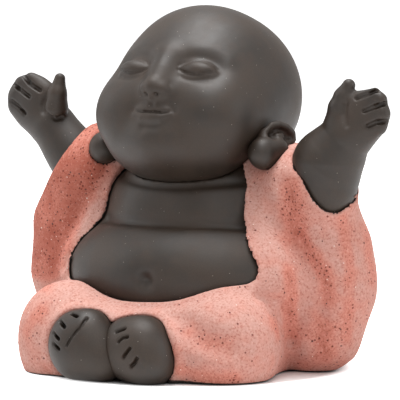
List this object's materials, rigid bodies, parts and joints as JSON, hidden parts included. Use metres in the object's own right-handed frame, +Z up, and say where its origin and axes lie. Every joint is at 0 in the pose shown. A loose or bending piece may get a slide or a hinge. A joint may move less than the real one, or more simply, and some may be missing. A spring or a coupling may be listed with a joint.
{
  "type": "seated buddha figurine",
  "caption": "Small seated monk figure of bare dark clay with both hands raised and a sand-glazed open robe, on a flat open foot.",
  "frame": {"origin": "on the floor, under the middle of the figure's outline", "axes": "+Z up, -Y the way the figure faces, +X its own left hand"},
  "size_m": [0.1076, 0.0816, 0.0893],
  "materials": {
    "clay": "satin, unglazed dark stoneware",
    "sand_glaze": "matt sandy glaze with dark specks"
  },
  "bodies": {
    "root": {"head": "clay", "left_ear": "clay", "right_ear": "clay", "torso": "clay", "left_arm": "clay", "right_arm": "clay", "left_foot": "clay", "right_foot": "clay", "robe_body": "sand_glaze", "robe_lap": "sand_glaze", "left_sleeve": "sand_glaze", "right_sleeve": "sand_glaze"}
  },
  "joints": []
}
